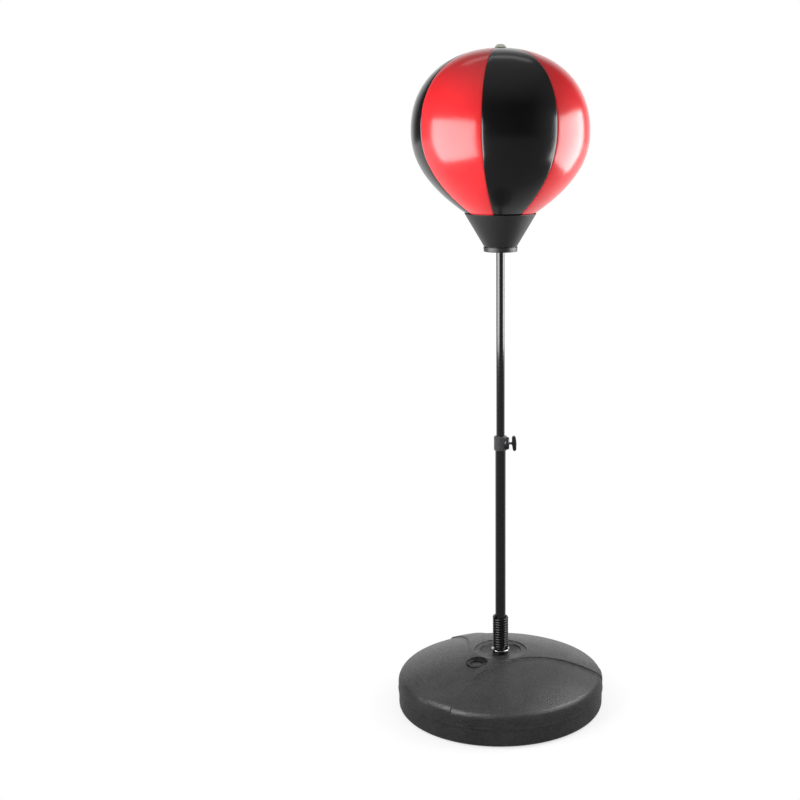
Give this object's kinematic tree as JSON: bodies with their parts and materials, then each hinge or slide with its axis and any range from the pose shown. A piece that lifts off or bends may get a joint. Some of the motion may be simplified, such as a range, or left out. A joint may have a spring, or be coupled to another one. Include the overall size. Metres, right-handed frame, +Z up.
{
  "type": "free-standing punch ball",
  "caption": "Free-standing punch ball: panelled inflated ball in a cone cup on a telescopic mast with a thumb-screw clamp, sprung on a round fillable base.",
  "frame": {"origin": "middle of the base's foot ring, on the floor", "axes": "+Z up along the mast; +X towards the clamp's thumb screw; -Y is the front"},
  "size_m": [0.32, 0.32, 1.001],
  "materials": {
    "base_plastic": "matte, fine moulded grain",
    "stopper_plastic": "satin",
    "thread_brass": "satin",
    "zinc_steel": "satin",
    "mast_paint": "gloss",
    "clamp_steel": "satin",
    "spring_steel": "gloss",
    "knob_plastic": "satin",
    "guide_nylon": "satin",
    "cup_plastic": "satin",
    "cover_red": "gloss",
    "cover_black": "gloss",
    "bladder_rubber": "satin",
    "valve_rubber": "satin"
  },
  "bodies": {
    "base": {"base_bottom_shell": "base_plastic", "base_top_shell": "base_plastic", "socket_insert": "thread_brass", "anchor_stud": "zinc_steel", "anchor_collar": "mast_paint", "anchor_washer": "zinc_steel", "spring_plug": "knob_plastic"},
    "stopper": {"filler_stopper": "stopper_plastic"},
    "spring": {"spring": "spring_steel"},
    "lower_mast": {"lower_tube": "mast_paint", "clamp_collar": "clamp_steel", "clamp_boss": "knob_plastic", "clamp_insert": "thread_brass"},
    "clamp_tip": {"clamp_pad": "guide_nylon"},
    "clamp_knob": {"clamp_screw": "zinc_steel", "screw_wing": "knob_plastic"},
    "mast_glide": {"tube_glide": "guide_nylon"},
    "upper_mast": {"upper_tube": "mast_paint", "tube_end_plug": "zinc_steel", "cup": "cup_plastic", "cup_bolt": "zinc_steel", "ball_anchor_disc": "cup_plastic", "ball_bottom_patch": "cover_black", "ball_bladder": "bladder_rubber", "ball_valve": "valve_rubber", "panel_black_1": "cover_black", "panel_red_1": "cover_red", "panel_black_2": "cover_black", "panel_red_2": "cover_red", "panel_black_3": "cover_black", "panel_red_3": "cover_red", "panel_black_4": "cover_black", "panel_red_4": "cover_red"}
  },
  "joints": [
    {"name": "sway_fore_aft", "type": "hinge", "parent": "base", "child": "spring", "pos_m": [0, 0, 0.108], "axis": [1, 0, 0], "range_deg": [-30, 30], "stiffness_Nm_per_rad": 28, "deforming": ["spring"]},
    {"name": "sway_sideways", "type": "hinge", "parent": "spring", "child": "lower_mast", "pos_m": [0, 0, 0.1264], "axis": [0, 1, 0], "range_deg": [-30, 30], "stiffness_Nm_per_rad": 28, "deforming": ["spring"]},
    {"name": "mast_height", "type": "slide", "parent": "lower_mast", "child": "mast_glide", "axis": [0, 0, 1], "range_m": [-0.25, 0]},
    {"name": "mast_turn", "type": "hinge", "parent": "mast_glide", "child": "upper_mast", "pos_m": [0, 0, 0.392], "axis": [0, 0, 1], "continuous": true},
    {"name": "pad_travel", "type": "slide", "parent": "lower_mast", "child": "clamp_tip", "axis": [1, 0, 0], "range_m": [0, 0.0024]},
    {"name": "screw_turn", "type": "hinge", "parent": "clamp_tip", "child": "clamp_knob", "pos_m": [0, 0, 0.4188], "axis": [1, 0, 0], "range_deg": [0, 1080]},
    {"name": "stopper_lift", "type": "slide", "parent": "base", "child": "stopper", "axis": [0, 0, 1], "range_m": [0, 0.03]}
  ],
  "couplings": [
    {"joint": "screw_turn", "follows": "pad_travel", "rad_per_m": 7854}
  ]
}
